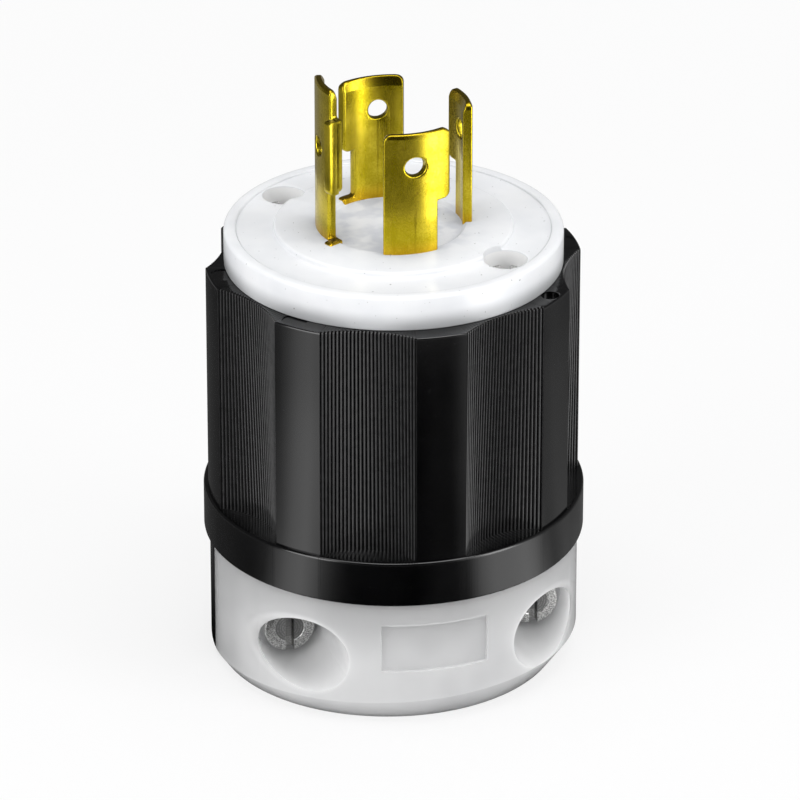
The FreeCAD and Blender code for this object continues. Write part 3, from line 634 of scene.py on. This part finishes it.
def makeGrip():
    low, top, edge = grip["ringHigh"], grip["sleeveTop"], grip["sleeveEdge"]
    plan = sleeveOutline(grip["depthLow"])
    bearings = [p.normalized() for p in plan]
    steps = grip["ribs"] * grip["pointsPerRib"]
    # weights for the painted highlight on the ribs' crests
    crests = [ribWave(i) ** grip["crestPower"] for i in range(1, steps)]
    crests = ([0] + crests + [0] * grip["landPoints"]) * grip["hollows"]

    def circle(radius, z):
        return [Vector((b.x * radius, b.y * radius, z)) for b in bearings]

    def sleeveAt(z, inset=0.0):
        share = (z - low) / (top - low)
        lowLine = sleeveOutline(grip["depthLow"], inset)
        topLine = sleeveOutline(grip["depthTop"], inset)
        return [(a.lerp(b, share)).to_3d() + Vector((0, 0, z)) for a, b in zip(lowLine, topLine)]

    # loops beside the small roundings keep the walls between them flat in shade
    ring, rim, guard = grip["ringRadius"], grip["ringEdge"], grip["guard"]
    under = arcTo((ring - rim, grip["ringLow"] + rim), rim, -90, 0, grip["edgeSteps"])
    over = arcTo((ring - rim, low - rim), rim, 0, 90, grip["edgeSteps"])
    beside = [(ring, grip["ringLow"] + rim + guard), (ring, low - rim - guard)]
    levels = [circle(r, z) for r, z in under + beside + over + [(ring - rim - guard, low)]]
    wallTop = top - edge
    wall = [low + (wallTop - low) * i / grip["wallSteps"] for i in range(grip["wallSteps"])]
    wall += [wallTop - guard, wallTop]
    ribbed = range(len(levels), len(levels) + len(wall))
    levels += [sleeveAt(z) for z in wall]
    levels += [sleeveAt(wallTop + edge * math.sin(math.radians(slope)),
                        edge * (1 - math.cos(math.radians(slope)))) for slope in grip["topSlopes"]]
    levels += [circle(grip["cavityRadius"], z) for z in (top, grip["cavityFloor"])]
    levels += [circle(grip["cordRadius"], z) for z in (grip["cavityFloor"], grip["ringLow"])]
    bm = bmesh.new()
    crestLayer = bm.verts.layers.float.new("crest")
    rows = [[bm.verts.new(p * mm) for p in level] for level in levels]
    for i in ribbed:
        for vert, crest in zip(rows[i], crests):
            vert[crestLayer] = crest
    for one, two in zip(rows, rows[1:] + rows[:1]):
        for i in range(len(one)):
            j = (i + 1) % len(one)
            bm.faces.new((one[i], one[j], two[j], two[i]))
    body = meshObject("gripBody", bm)
    marks = []
    for degree, (radius, away, depth) in grip["marks"].items():
        x, y = away * math.cos(math.radians(degree)), away * math.sin(math.radians(degree))
        marks.append(rod("mark", radius, radius, (x, y, top - depth), (x, y, top + spare),
                         grip["markSides"]))
    combine(body, marks)
    return body


# cord clamp: both halves are cut from one bevelled drum
clamp = {
    "radius": 24.62, "top": 18.1, "frontTop": 17.9, "gap": 0.3,
    "bevelRadius": 22.86, "bevelPitch": 1.42, "bevelShift": 0.64, "bevelLean": 0.82,
    "cordRadius": 9.5, "cordFlare": 1.6,
    "cordSoft": 0.25, "footSoft": 0.3, "bevelSoft": 0.3, "topSoft": 0.12, "flareSoft": 0.5,
    "wellOffset": 16.7, "wellHeight": 9.05, "wellSeat": 8.55, "wellRadius": 4.25, "wellMouth": 5.8,
    "lip": 0.30, "screwHole": 2.2,
    "panelHalf": 17.0, "panelLow": 8.05, "panelHigh": 14.84, "panelDepth": 0.5,
    "nutSeat": 8.0, "nutRoom": 7.5, "rearSoft": 0.15, "frontSoft": 0.14,
    # each half is turned a little past the parting line and then trimmed
    "past": 2, "rearSlices": 97, "frontSlices": 145, "panelSlices": 25,
    "holeSides": 48, "wellSides": 96,
    # how far the tools reach that cut the halves
    "beyond": 28.0, "reach": 30, "across": 10, "rearHoleFrom": -5, "frontHole": (-20, 5),
}


def footProfile(top, way):
    # the drum's section at an angle: the bevel's cone is struck off the plug's axis
    centre = Vector((-clamp["bevelShift"], way * clamp["bevelLean"]))

    def profile(degree):
        ray = Vector((math.cos(math.radians(degree)), math.sin(math.radians(degree))))
        along = ray.dot(centre)
        low = along + math.sqrt(along ** 2 - centre.length_squared + clamp["bevelRadius"] ** 2)
        radius = clamp["radius"]
        high = ((ray * radius - centre).length - clamp["bevelRadius"]) * clamp["bevelPitch"]
        return rounded([
            (clamp["cordRadius"] + clamp["cordFlare"], 0, clamp["cordSoft"]),
            (low, 0, clamp["footSoft"]), (radius, high, clamp["bevelSoft"]),
            (radius, top, clamp["topSoft"]), (clamp["cordRadius"], top),
            (clamp["cordRadius"], clamp["cordFlare"], clamp["flareSoft"]),
        ])
    return profile


def makeRearHalf():
    past, reach, hole = clamp["past"], clamp["reach"], clamp["screwHole"]
    degrees = around(clamp["rearSlices"], -past, 180 + 2 * past, closed=False)
    half = turned("rearHalf", footProfile(clamp["top"], -1), degrees, closed=False)
    tools = [block("gap", (-reach, -clamp["across"], -spare), (reach, clamp["gap"], reach))]
    for side in (-1, 1):
        x, z, room = side * clamp["wellOffset"], clamp["wellHeight"], clamp["nutRoom"] / 2
        tools.append(rod("hole", hole, hole, (x, clamp["rearHoleFrom"], z), (x, reach, z),
                         clamp["holeSides"]))
        tools.append(block("nest", (x - room, clamp["nutSeat"], z - room),
                           (x + room, reach, z + room)))
    combine(half, tools)
    soften(half, clamp["rearSoft"], segments=2)
    return half


def makeFrontHalf():
    past, reach, beyond = clamp["past"], clamp["reach"], clamp["beyond"]
    seat, hole, z = clamp["wellSeat"], clamp["screwHole"], clamp["wellHeight"]
    degrees = around(clamp["frontSlices"], 180 - past, 180 + 2 * past, closed=False)
    half = turned("cordClampHalf", footProfile(clamp["frontTop"], 1), degrees, closed=False)
    slope = (clamp["wellMouth"] - clamp["wellRadius"]) / (clamp["radius"] - seat)
    holeStart, holeEnd = clamp["frontHole"]
    wells, holes = [], []
    for x in (-clamp["wellOffset"], clamp["wellOffset"]):
        wells.append(rod("well", clamp["wellRadius"], clamp["wellRadius"] + slope * (beyond - seat),
                         (x, -seat, z), (x, -beyond, z), clamp["wellSides"]))
        holes.append(rod("hole", hole, hole, (x, holeStart, z), (x, holeEnd, z),
                         clamp["holeSides"]))
    combine(half, wells)
    soften(half, clamp["lip"], segments=4, angle=40)
    inner, low, high = clamp["radius"] - clamp["panelDepth"], clamp["panelLow"], clamp["panelHigh"]
    section = [(inner, low), (beyond, low), (beyond, high), (inner, high)]
    spread = clamp["panelHalf"]
    degrees = around(clamp["panelSlices"], 270 - spread, 2 * spread, closed=False)
    panel = turned("panel", lambda degree: section, degrees, closed=False)
    parting = block("parting", (-reach, -clamp["gap"], -spare), (reach, clamp["across"], reach))
    combine(half, holes + [panel, parting])
    soften(half, clamp["frontSoft"], segments=2, angle=50)
    return half


gripBody = makeGrip()
absorb(gripBody, makeRearHalf())
smooth(gripBody, angle=35)
hand(gripBody, "black_nylon", "housing")
print("grip made:", len(gripBody.data.polygons), "faces")

cordClamp = makeFrontHalf()
smooth(cordClamp, angle=35)
hand(cordClamp, "clear_nylon", "cord_clamp")
print("cord clamp made:", len(cordClamp.data.polygons), "faces")


# face: rim, sunk ring, boss with its eye, and screw recesses with their holes
face = {
    "low": 44.0, "sleeveTop": 56.7, "rimTop": 61.4, "panelTop": 61.15, "bossTop": 61.85,
    "radius": 22.37, "spigot": 19.3, "rimWidth": 1.65, "bossRadius": 15.75, "eyeRadius": 9.0,
    "eyeDepth": 0.5, "eyeFlare": 0.5,
    # roundings, from the spigot up over the rim and in to the eye
    "spigotSoft": 0.4, "seatSoft": 0.15, "soft": 0.5, "rimSoft": 0.25, "ringSoft": (0.15, 0.3),
    "bossSoft": 0.35, "eyeSoft": 0.3,
    "fixingCircle": 17.7, "fixingAngle": -48.0, "recess": 2.9, "recessFloor": 57.5, "hole": 2.0,
    "slices": 192, "holeSides": 40, "holeFrom": 40, "holeTo": 60, "above": 64, "brim": 0.22,
}


def fixingPlace(turn):
    a = math.radians(face["fixingAngle"] + turn)
    return face["fixingCircle"] * math.cos(a), face["fixingCircle"] * math.sin(a)


def makeFace():
    radius, boss, eye = face["radius"], face["bossRadius"], face["eyeRadius"]
    panelTop, bossTop = face["panelTop"], face["bossTop"]
    rimInside, eyeFloor = radius - face["rimWidth"], bossTop - face["eyeDepth"]
    outline = rounded([
        (onAxis, face["low"]), (face["spigot"], face["low"], face["spigotSoft"]),
        (face["spigot"], face["sleeveTop"]), (radius, face["sleeveTop"], face["seatSoft"]),
        (radius, face["rimTop"], face["soft"]), (rimInside, face["rimTop"], face["rimSoft"]),
        (rimInside, panelTop, face["ringSoft"][0]), (boss, panelTop, face["ringSoft"][1]),
        (boss, bossTop, face["bossSoft"]), (eye + face["eyeFlare"], bossTop, face["eyeSoft"]),
        (eye, eyeFloor, face["eyeSoft"]), (onAxis, eyeFloor),
    ])
    disc = turned("faceDisc", lambda degree: outline, around(face["slices"]))
    tools = []
    for turn in (0, 180):
        x, y = fixingPlace(turn)
        tools.append(rod("recess", face["recess"], face["recess"], (x, y, face["recessFloor"]),
                         (x, y, face["above"])))
        tools.append(rod("hole", face["hole"], face["hole"], (x, y, face["holeFrom"]),
                         (x, y, face["holeTo"]), face["holeSides"]))
    combine(disc, tools)
    soften(disc, face["brim"], angle=40)
    return disc


faceDisc = makeFace()
smooth(faceDisc)
hand(faceDisc, "white_nylon", "face")
print("face made:", len(faceDisc.data.polygons), "faces")


# screws that show: head with a dished middle and one slot, threaded below
screws = {
    "clamp": {"head": 3.35, "headHigh": 2.1, "shank": 2.0, "long": 19.5, "dish": 1.95,
              "sunk": 0.10, "edge": 0.20, "slotWide": 1.18, "slotDeep": 1.30, "pitch": 0.9},
    "assembly": {"head": 2.75, "headHigh": 1.7, "shank": 1.7, "long": 11.0, "dish": 1.95,
                 "sunk": 0.06, "edge": 0.28, "slotWide": 1.2, "slotDeep": 0.9, "pitch": 0.8},
}
screwForm = {"threadDepth": 0.35, "neck": 1.0, "under": 0.1, "dishLip": 0.08, "dishFoot": 0.05,
             "soft": 0.07, "slices": 64, "driven": -13.3}


def makeScrew(name, kind):
    # head upwards on +Z, its underside at zero, its slot along Y
    size = screws[kind]
    top, edge, dish, sunk = size["headHigh"], size["edge"], size["dish"], size["sunk"]
    shank, pitch = size["shank"], size["pitch"]
    core = shank - screwForm["threadDepth"] * pitch
    z = -size["long"]
    outline = [(onAxis, z), (core, z)]
    while z + pitch < -screwForm["neck"]:
        outline += [(shank, z + pitch / 2), (core, z + pitch)]
        z += pitch
    outline += [(shank, z + pitch / 2), (shank, 0), (size["head"], 0, screwForm["under"]),
                (size["head"], top, edge), (dish + sunk, top, screwForm["dishLip"]),
                (dish, top - sunk, screwForm["dishFoot"]), (onAxis, top - sunk)]
    profile = rounded(outline, steps=3)
    screw = turned(name, lambda degree: profile, around(screwForm["slices"]))
    half, reach = size["slotWide"] / 2, size["head"] + spare
    slot = block("slot", (-half, -reach, top - size["slotDeep"]), (half, reach, top + spare))
    combine(screw, [slot])
    soften(screw, screwForm["soft"], segments=2, angle=50)
    return screw


def placeScrew(screw, turn, place, node):
    smooth(screw, angle=35)
    screw.matrix_world = Matrix.Translation(Vector(place) * mm) @ turn
    hand(screw, "steel", node, finish="head_steel")


towardsFront = Matrix.Rotation(math.radians(90), 4, "X")  # head towards -Y
driven = Matrix.Rotation(math.radians(screwForm["driven"]), 4, "Z")  # slots as they were left
for side, sideName in ((-1, "left"), (1, "right")):
    place = (side * clamp["wellOffset"], -clamp["wellSeat"], clamp["wellHeight"])
    placeScrew(makeScrew("clampScrew" + sideName.title(), "clamp"), towardsFront, place,
               "clamp_screw_" + sideName)
for turn, sideName in ((0, "front"), (180, "rear")):
    place = (*fixingPlace(turn), face["recessFloor"])
    placeScrew(makeScrew("assemblyScrew" + sideName.title(), "assembly"), driven, place,
               "assembly_screw_" + sideName)
print("screws made")


# blades: cut flat, bevelled, then rolled
blade = {
    "outer": 10.3, "thick": 1.27, "edge": 0.22, "top": 78.7, "low": 30.2,
    "lug": 11.4, "undercut": 68.85, "corner": 1.0, "undercutCorner": 0.9,
    "leadIn": (1.25, 0.42), "leadOut": (0.55, 0.24), "holeHeight": 74.1, "holeRadius": 1.35,
    "foot": 62.15, "footLow": 44.0, "shoulder": 79.25, "earthTop": 83.1, "neck": 2.3, "hook": 9.0,
    "farCorner": 2.2, "nearCorner": 0.6, "hookReach": 0.95, "hookEdge": 0.4, "hookSoft": 0.14,
    "footSoft": 0.25, "undercutSoft": 0.15, "shoulderSoft": 0.3, "hookFootSoft": 0.3,
    "cornerSteps": 5, "bevelSteps": 2, "holePoints": 40,
    # slices that let the blank roll: degrees each, first and last from its middle
    "slice": 1.5, "slices": (-28, 36), "weld": 0.001, "crispWithin": 0.01, "brownBy": 1.5,
}
bladeKinds = {
    "neutral": {"turn": 0, "half": 13.1, "holeShift": 3.0},
    "line_rear": {"turn": 90, "half": 21.0, "holeShift": 0.0, "wideFoot": True},
    "earth": {"turn": 180, "half": 21.0, "holeShift": 3.0, "wideFoot": True, "earth": True},
    "line_front": {"turn": 270, "half": 21.0, "holeShift": 3.0},
}


def bladeOutline(kind):
    # the flat blank: degrees along the roll for x, heights for y, rounding in millimetres
    half, corner = kind["half"], blade["corner"]
    lugEnd = half + (blade["hook"] if kind.get("earth") else blade["lug"])
    line = [(-half, blade["low"]), (half, blade["low"])]
    if kind.get("wideFoot"):
        line += [(half, blade["footLow"]), (lugEnd, blade["footLow"]),
                 (lugEnd, blade["foot"], blade["footSoft"]),
                 (half, blade["foot"], blade["footSoft"])]
    line += [(half, blade["undercut"], blade["undercutSoft"]),
             (lugEnd, blade["undercut"], blade["undercutCorner"])]
    if kind.get("earth"):
        neck = half + blade["neck"]
        line += [(lugEnd, blade["shoulder"], blade["shoulderSoft"]),
                 (neck, blade["shoulder"], blade["shoulderSoft"]),
                 (neck, blade["earthTop"], blade["nearCorner"]),
                 (-half, blade["earthTop"], blade["farCorner"])]
    else:
        line += [(lugEnd, blade["top"], corner), (-half, blade["top"], corner)]
    return line


def makeHook(kind):
    # the turned-out edge of the earth blade, above and at the foot
    root, reach = blade["outer"] - blade["thick"] / 2, blade["outer"] + blade["hookReach"]
    upper = rounded([(root, blade["undercut"]), (reach, blade["undercut"], blade["undercutCorner"]),
                     (reach, blade["shoulder"], blade["hookEdge"]), (root, blade["shoulder"])])
    lower = rounded([(root, blade["footLow"]), (reach, blade["footLow"]),
                     (reach, blade["foot"], blade["hookFootSoft"]), (root, blade["foot"])])
    turn = math.radians(kind["turn"] + kind["half"] + blade["hook"])
    outwards = Vector((math.cos(turn), math.sin(turn), 0))
    back = Vector((math.sin(turn), -math.cos(turn), 0)) * blade["thick"]
    bm = bmesh.new()
    for line in (upper, lower):
        points = [outwards * r + Vector((0, 0, z)) for r, z in line]
        rows = [[bm.verts.new((p + step) * mm) for p in points] for step in (Vector(), back)]
        bm.faces.new(rows[0])
        bm.faces.new(rows[1][::-1])
        for i in range(len(points)):
            j = (i + 1) % len(points)
            bm.faces.new((rows[0][i], rows[1][i], rows[1][j], rows[0][j]))
    hook = meshObject("hook", bm)
    soften(hook, blade["hookSoft"], segments=2, angle=50)
    return hook


def flatBlank(kind, perDegree):
    # the outline with its hole, given its thickness and rounded edges
    flat = rounded([(p[0] * perDegree, *p[1:]) for p in bladeOutline(kind)], blade["cornerSteps"])
    points = blade["holePoints"]
    hole = [(kind["holeShift"] * perDegree + blade["holeRadius"] * math.cos(t),
             blade["holeHeight"] + blade["holeRadius"] * math.sin(t))
            for t in [-2 * math.pi * i / points for i in range(points)]]
    curve = bpy.data.curves.new("blank", "CURVE")
    curve.dimensions = "2D"
    curve.fill_mode = "BOTH"
    curve.extrude = (blade["thick"] / 2 - blade["edge"]) * mm
    curve.bevel_depth = blade["edge"] * mm
    curve.bevel_resolution = blade["bevelSteps"]
    curve.offset = -blade["edge"] * mm  # the bevel grows outwards, so the outline starts inside
    for line in (flat, hole):
        spline = curve.splines.new("POLY")
        spline.points.add(len(line) - 1)
        for point, (x, y) in zip(spline.points, line):
            point.co = (x * mm, y * mm, 0, 1)
        spline.use_cyclic_u = True
    blank = bpy.data.objects.new("blank", curve)
    scene.collection.objects.link(blank)
    bpy.context.view_layer.update()
    graph = bpy.context.evaluated_depsgraph_get()
    mesh = bpy.data.meshes.new_from_object(blank.evaluated_get(graph))
    bpy.data.objects.remove(blank)
    bm = bmesh.new()
    bm.from_mesh(mesh)
    bmesh.ops.remove_doubles(bm, verts=bm.verts, dist=blade["weld"] * mm)
    return bm


def makeBlade(name, kind):
    middle = blade["outer"] - blade["thick"] / 2
    perDegree = math.radians(1) * middle
    bm = flatBlank(kind, perDegree)
    top = blade["earthTop"] if kind.get("earth") else blade["top"]
    step = blade["slice"] * perDegree * mm
    cuts = [((i * step, 0, 0), (1, 0, 0)) for i in range(*blade["slices"])]
    leadLines = [top - blade[lead][0] for lead in ("leadIn", "leadOut")]
    cuts += [((0, z * mm, 0), (0, 1, 0)) for z in leadLines]
    for point, normal in cuts:
        everything = bm.verts[:] + bm.edges[:] + bm.faces[:]
        bmesh.ops.bisect_plane(bm, geom=everything, dist=nearly, plane_co=point, plane_no=normal)
    leadLayer = bm.verts.layers.float.new("lead")
    for vert in bm.verts:
        along, height, out = vert.co.x / mm, vert.co.y / mm, vert.co.z / mm
        leadHigh, leadWide = blade["leadOut"] if out > 0 else blade["leadIn"]
        lead = max(0.0, (height - top + leadHigh) / leadHigh)
        vert[leadLayer] = min(1.0, lead * blade["brownBy"])
        out *= 1 - lead * 2 * leadWide / blade["thick"]
        a = math.radians(along / perDegree + kind["turn"])
        r = middle + out
        vert.co = (r * math.cos(a) * mm, r * math.sin(a) * mm, height * mm)
    piece = meshObject("blade" + name.title().replace("_", ""), bm)
    if kind.get("earth"):
        absorb(piece, makeHook(kind))
    smooth(piece, angle=40)
    for edge in piece.data.edges:
        heights = [piece.data.vertices[i].co.z / mm for i in edge.vertices]
        if any(all(abs(z - line) < blade["crispWithin"] for z in heights) for line in leadLines):
            edge.use_edge_sharp = True  # a lead-in starts on a crisp line
    return hand(piece, "blade_brass", "blade_" + name)


blades = [makeBlade(name, kind) for name, kind in bladeKinds.items()]
print("blades made:", sum(len(b.data.polygons) for b in blades), "faces")


# solids whose shape is right keep it and take their finish
for entry in frame["record"]["subparts"]:
    node = frame["nodes"][entry["node"]]
    if not node.hide_render:
        node.data.materials.clear()
        node.data.materials.append(finishes[entry["material_slot"]])
print("solids dressed")


# floor, light and background: white to the camera, and for reflections pale at
# the sides and dim in front, as where the photographer stands; pairs are
# distances from the plug in metres between which a share grows
stage = {
    "floorSize": 8.0, "drop": 0.02, "floor": (0.88, 0.88, 0.885, 1), "floorRough": 0.9,
    "whiteShare": 0.76, "open": (0.12, 0.45), "sky": 0.50, "gloss": 1.5,
    "contact": (0.022, 0.050), "far": (0.138, 0.150), "frontShare": 0.20,
    "dip": (0.105, 0.130), "dipDepth": 0.25, "high": (0.147, 0.163), "highGain": 4.5,
}
# how bright the studio is by bearing: for the black and white parts, and for
# the blades, which see the floor further out
studioSides = [
    (-180, 0.05), (-172, 0.10), (-165, 0.38), (-158, 0.78), (-150, 1.0), (-144, 0.75),
    (-138, 0.30), (-132, 0.10), (-126, 0.02), (-118, 0.0), (-90, 0.0), (-80, 0.03),
    (-72, 0.03), (-66, 0.14), (-59, 0.70), (-52, 1.0), (-32, 1.0), (-25, 0.72),
    (-18, 0.34), (-12, 0.18), (0, 0.20), (20, 0.10), (60, 0.05), (180, 0.05),
]
bladeSides = [
    (-180, 0.013), (-172, 0.033), (-165, 0.11), (-158, 0.23), (-150, 0.30), (-144, 0.23),
    (-138, 0.09), (-132, 0.033), (-126, 0.007), (-118, 0.0), (-90, 0.0), (-80, 0.01),
    (-72, 0.013), (-66, 0.05), (-59, 0.21), (-54, 0.42), (-50, 1.0), (-38, 1.0),
    (-28, 0.45), (-18, 0.22), (-12, 0.10), (0, 0.06), (20, 0.033), (60, 0.013),
    (180, 0.013),
]


def sideLight(nodes, point, sides=studioSides):
    parts = [nodes.node("ShaderNodeSeparateXYZ", {}, {0: point}, output=i) for i in (0, 1)]
    turn = nodes.math("ARCTAN2", parts[1], parts[0]) / (2 * math.pi) + 0.5
    stops = [((degree + 180) / 360, (level, level, level, 1)) for degree, level in sides]
    return nodes.node("ShaderNodeValToRGB", {"stops": stops}, {"Fac": turn})


def layFloor():
    bm = bmesh.new()
    bmesh.ops.create_grid(bm, x_segments=1, y_segments=1, size=stage["floorSize"] / 2)
    floor = meshObject("floor", bm)
    look = Finish("floorFinish")
    seen, glossy, through = look.rays("Is Camera Ray", "Is Glossy Ray", "Is Transmission Ray")
    look.dress(Base_Color=stage["floor"], Roughness=stage["floorRough"])
    point = look.node("ShaderNodeTexCoord", output="Object")
    length = look.node("ShaderNodeVectorMath", {"operation": "LENGTH"}, {0: point}, output="Value")
    far, dip, high = [look.ramp(length, *stage[key]) for key in ("far", "dip", "high")]
    contact, away = look.ramp(length, *stage["contact"]), look.ramp(length, *stage["open"])
    near = sideLight(look, point) * (1 - dip * stage["dipDepth"])
    side = near * (1 - high) + sideLight(look, point, bladeSides) * high * stage["highGain"]
    shown = look.math("MAXIMUM", side, far * stage["frontShare"]) * contact
    share = stage["whiteShare"] + (1 - stage["whiteShare"]) * away
    white = look.node("ShaderNodeEmission", {}, {"Color": (1, 1, 1, 1), "Strength": 1.0})
    studio = look.node("ShaderNodeEmission", {}, {"Strength": shown * stage["gloss"]})
    plain = look.node("ShaderNodeMixShader", {}, {
        0: (seen + through) * share, 1: Wire(look, look.shader.outputs[0]), 2: white})
    mixed = look.node("ShaderNodeMixShader", {}, {0: glossy, 1: plain, 2: studio})
    look.feed(look.tree.nodes["Material Output"].inputs["Surface"], mixed)
    floor.data.materials.append(look.material)
    floor.location.z = -stage["drop"] * mm


def lightWorld():
    scene.world = bpy.data.worlds.new("studio")
    scene.world.use_nodes = True
    look = Nodes(scene.world.node_tree)
    back = look.tree.nodes["Background"]
    seen, glossy, through = look.rays("Is Camera Ray", "Is Glossy Ray", "Is Transmission Ray")
    side = sideLight(look, look.node("ShaderNodeTexCoord", output="Generated")) * stage["gloss"]
    white = seen + through
    look.feed(back.inputs["Color"], (1, 1, 1, 1))
    look.feed(back.inputs["Strength"], white + glossy * side + (1 - white - glossy) * stage["sky"])


lamps = {
    "topBox": {"at": (0.02, -0.06, 0.75), "size": (0.55, 0.55), "power": 2.62},
    "leftBox": {"at": (-0.50, -0.25, 0.24), "size": (0.30, 0.42), "power": 1.14},
    "rightBox": {"at": (0.48, -0.40, 0.30), "size": (0.25, 0.40), "power": 1.30},
}


def hangLamps():
    for name, lamp in lamps.items():
        data = bpy.data.lights.new(name, "AREA")
        data.shape = "RECTANGLE"
        data.size, data.size_y = lamp["size"]
        data.energy = lamp["power"]
        made = bpy.data.objects.new(name, data)
        scene.collection.objects.link(made)
        made.location = lamp["at"]
        aim = Vector(cameraSet["target"]) - made.location
        made.rotation_euler = aim.to_track_quat("-Z", "Y").to_euler()


layFloor()
lightWorld()
hangLamps()
print("stage lit")
